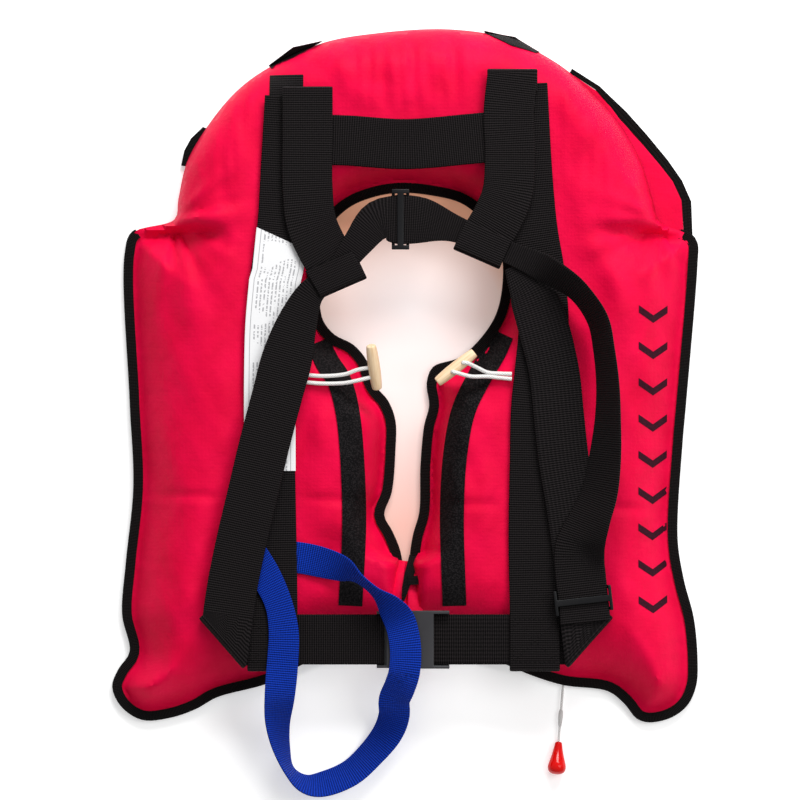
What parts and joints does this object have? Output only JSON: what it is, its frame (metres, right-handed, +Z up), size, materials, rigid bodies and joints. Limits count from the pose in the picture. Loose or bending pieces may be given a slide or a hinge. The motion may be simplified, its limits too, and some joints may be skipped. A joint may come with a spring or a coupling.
{
  "type": "inflatable life jacket",
  "caption": "Packed gas-inflated life jacket with U collar and two chest lobes, webbing harness with side-release buckle, crotch strap, wooden toggles and manual pull handle.",
  "frame": {"origin": "on the table below the middle of the jacket outline", "axes": "+X across the jacket to the right of the view, +Y towards the collar, +Z up from the table; the harness side faces up"},
  "size_m": [0.4716, 0.617, 0.0883],
  "materials": {
    "red_nylon": "dyed coated nylon, soft sheen",
    "black_webbing": "ribbed polyester webbing",
    "black_binding": "folded edge tape",
    "blue_webbing": "ribbed polyester webbing",
    "white_label": "printed satin label",
    "bladder_cloth": "coated airtight cloth",
    "dark_plastic": "fine moulded texture",
    "wood": "bare turned wood",
    "white_cord": "braided cord",
    "red_plastic": "gloss moulded",
    "cylinder_steel": "zinc plated",
    "brass": "satin",
    "reflective_tape": "glass bead tape"
  },
  "bodies": {
    "jacket": {"back_strap": "black_webbing", "bladder": "bladder_cloth", "buckle_plug": "dark_plastic", "buckle_socket": "dark_plastic", "care_label": "white_label", "collar_strap": "black_webbing", "collar_tab_left": "black_binding", "collar_tab_right": "black_binding", "crotch_strap": "blue_webbing", "front_flap_binding_left": "black_binding", "front_flap_binding_right": "black_binding", "front_flap_right": "red_nylon", "hook_tape_left": "black_binding", "hook_tape_right": "black_binding", "inflator_body": "dark_plastic", "inflator_seat": "brass", "inner_cover": "red_nylon", "lever_pin": "brass", "lobe_strap_left": "black_webbing", "lobe_strap_right": "black_webbing", "neck_binding": "black_binding", "oral_tube": "dark_plastic", "oral_valve": "red_plastic", "outer_binding": "black_binding", "outer_cover": "red_nylon", "reflective_patch_left": "reflective_tape", "reflective_patch_right": "reflective_tape", "right_waist_strap": "black_webbing", "shoulder_strap_left": "black_webbing", "shoulder_strap_right": "black_webbing", "strap_patch": "black_webbing", "whistle": "red_plastic"},
    "upper_prong": {"buckle_prong_upper": "dark_plastic"},
    "lower_prong": {"buckle_prong_lower": "dark_plastic"},
    "adjuster": {"strap_adjuster": "dark_plastic"},
    "slider": {"neck_slider": "dark_plastic"},
    "left_toggle": {"wood_toggle_left": "wood", "toggle_cord_left_upper": "white_cord", "toggle_cord_left_lower": "white_cord"},
    "right_toggle": {"wood_toggle_right": "wood", "toggle_cord_right_upper": "white_cord", "toggle_cord_right_lower": "white_cord"},
    "pull": {"pull_cord": "white_cord", "pull_handle": "red_plastic"},
    "lever": {"firing_lever": "dark_plastic"},
    "cylinder": {"gas_cylinder": "cylinder_steel"},
    "cap": {"oral_tube_cap": "dark_plastic"}
  },
  "joints": [
    {"name": "upper_prong_flex", "type": "hinge", "parent": "jacket", "child": "upper_prong", "pos_m": [-0.007, -0.19765, 0.0442], "axis": [0, 0, 1], "range_deg": [-11, 0], "stiffness_Nm_per_rad": 0.3},
    {"name": "lower_prong_flex", "type": "hinge", "parent": "jacket", "child": "lower_prong", "pos_m": [-0.007, -0.22315, 0.0442], "axis": [0, 0, 1], "range_deg": [0, 11], "stiffness_Nm_per_rad": 0.3},
    {"name": "adjuster_slide", "type": "slide", "parent": "jacket", "child": "adjuster", "axis": [-0.1132, 0.9936, 0], "range_m": [0, 0.012]},
    {"name": "neck_slider_slide", "type": "slide", "parent": "jacket", "child": "slider", "axis": [1, 0, 0], "range_m": [-0.01, 0.01]},
    {"name": "left_toggle_swing", "type": "hinge", "parent": "jacket", "child": "left_toggle", "pos_m": [-0.085, -0.002, 0.0434], "axis": [0, 0, 1], "range_deg": [-12, 12]},
    {"name": "right_toggle_swing", "type": "hinge", "parent": "jacket", "child": "right_toggle", "pos_m": [0.0846, -0.0016, 0.0434], "axis": [0, 0, 1], "range_deg": [-12, 12]},
    {"name": "pull_slide", "type": "slide", "parent": "jacket", "child": "pull", "axis": [-0.0789, -0.9969, 0], "range_m": [0, 0.0258]},
    {"name": "lever_swing", "type": "hinge", "parent": "jacket", "child": "lever", "pos_m": [0.148, -0.19, 0.0036], "axis": [0, 0, 1], "range_deg": [0, 80]},
    {"name": "cylinder_turn", "type": "hinge", "parent": "jacket", "child": "cylinder", "pos_m": [0.132, -0.1, 0.0185], "axis": [0, 1, 0], "range_deg": [0, 1800]},
    {"name": "oral_cap_slide", "type": "slide", "parent": "jacket", "child": "cap", "axis": [0, -1, 0], "range_m": [0, 0.016]}
  ],
  "couplings": [
    {"joint": "lever_swing", "follows": "pull_slide", "rad_per_m": 54}
  ]
}
